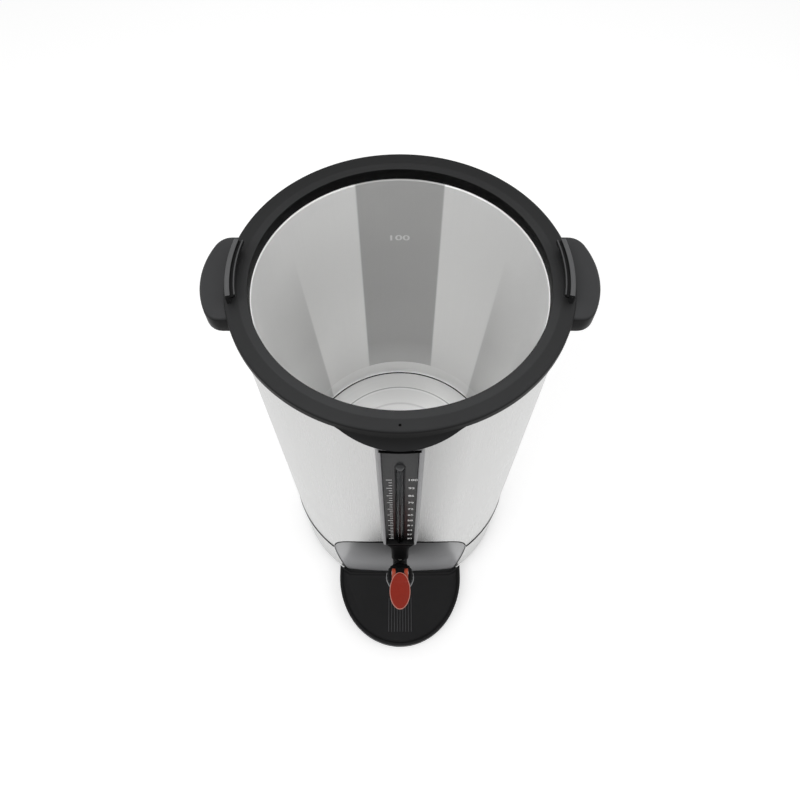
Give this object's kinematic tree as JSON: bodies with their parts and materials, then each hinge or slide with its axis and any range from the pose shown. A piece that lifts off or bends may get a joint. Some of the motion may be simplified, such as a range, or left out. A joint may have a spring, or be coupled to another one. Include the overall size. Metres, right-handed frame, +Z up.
{
  "type": "filter coffee urn",
  "caption": "Tall double-walled steel coffee urn with a black rim and side handles, front level gauge, sprung lever tap and drip tray.",
  "frame": {"origin": "centre of the bounding box's footprint, on the plane that the feet stand on", "axes": "+Z up along the urn's axis, -Y to the front where the tap is, +X to the handle on the right as seen from the rear; the urn's axis stands 38.5 mm behind the origin"},
  "size_m": [0.34, 0.377, 0.522],
  "materials": {
    "vessel_steel": "satin, drawn",
    "shell_steel": "polished with a fine upright grain",
    "rim_plastic": "fine texture",
    "handle_plastic": "fine texture",
    "fascia_plastic": "smooth, glossy",
    "gauge_plastic": "smooth",
    "scale_plastic": "glossy with white numerals",
    "clear_tube": "clear",
    "tap_plastic": "smooth",
    "ring_metal": "polished",
    "lever_plastic": "smooth",
    "tray_plastic": "fine texture",
    "foot_rubber": "matte",
    "seal_silicone": "matte",
    "fastener_steel": "zinc plated",
    "base_steel": "galvanised",
    "plate_aluminium": "cast",
    "element_steel": "oxidised",
    "insulator": "unglazed ceramic",
    "brown_insulation": "smooth",
    "blue_insulation": "smooth",
    "earth_insulation": "green and yellow"
  },
  "bodies": {
    "urn": {"inner_vessel": "vessel_steel", "outer_shell": "shell_steel", "lower_skirt": "shell_steel", "front_fascia": "fascia_plastic", "top_rim": "rim_plastic", "rim_gasket": "seal_silicone", "handle_right": "handle_plastic", "handle_left": "handle_plastic", "handle_nut_plate_right": "base_steel", "handle_nut_plate_left": "base_steel", "handle_screw_right_1": "fastener_steel", "handle_screw_right_2": "fastener_steel", "handle_screw_left_1": "fastener_steel", "handle_screw_left_2": "fastener_steel", "gauge_housing": "gauge_plastic", "gauge_scale_plate": "scale_plastic", "sight_tube": "clear_tube", "sight_tube_cap": "gauge_plastic", "sight_tube_seal": "seal_silicone", "gauge_neck_cover": "gauge_plastic", "gauge_screw": "fastener_steel", "tap_body": "tap_plastic", "shank_gasket": "seal_silicone", "shank_washer": "seal_silicone", "shank_nut": "fastener_steel", "tap_bonnet": "tap_plastic", "bonnet_ring": "ring_metal", "stem_spring": "fastener_steel", "base_pan": "rim_plastic", "bottom_plate": "base_steel", "foot_rear_right": "foot_rubber", "foot_rear_left": "foot_rubber", "foot_front_left": "foot_rubber", "foot_front_right": "foot_rubber", "foot_under_tray": "foot_rubber", "tie_rod_1": "fastener_steel", "tie_rod_2": "fastener_steel", "tie_rod_3": "fastener_steel", "tie_rod_nut_1": "fastener_steel", "tie_rod_nut_2": "fastener_steel", "tie_rod_nut_3": "fastener_steel", "heater_plate": "plate_aluminium", "brew_element": "element_steel", "warming_element": "element_steel", "brew_thermostat": "insulator", "warming_thermostat": "insulator", "thermal_fuse": "plate_aluminium", "terminal_block": "insulator", "power_inlet": "rim_plastic", "wire_live": "brown_insulation", "wire_earth": "earth_insulation", "wire_neutral": "blue_insulation", "wire_brew_feed": "brown_insulation", "wire_brew_return": "blue_insulation", "wire_warming_feed": "brown_insulation"},
    "tray": {"drip_tray": "tray_plastic"},
    "stem": {"valve_stem": "tap_plastic", "seat_cup": "seal_silicone"},
    "lever": {"tap_lever": "lever_plastic", "lever_pin": "fastener_steel"}
  },
  "joints": [
    {"name": "tray_slide", "type": "slide", "parent": "urn", "child": "tray", "axis": [0, -1, 0], "range_m": [0, 0.08]},
    {"name": "stem_lift", "type": "slide", "parent": "urn", "child": "stem", "axis": [0, 0, 1], "range_m": [0, 0.004], "deforming": ["stem_spring"]},
    {"name": "lever_press", "type": "hinge", "parent": "stem", "child": "lever", "pos_m": [0, -0.1355, 0.199], "axis": [1, 0, 0], "range_deg": [0, 35], "stiffness_Nm_per_rad": 0.3, "springref_deg": -22.92}
  ],
  "couplings": [
    {"joint": "stem_lift", "follows": "lever_press", "m_per_rad": 0.0065}
  ]
}
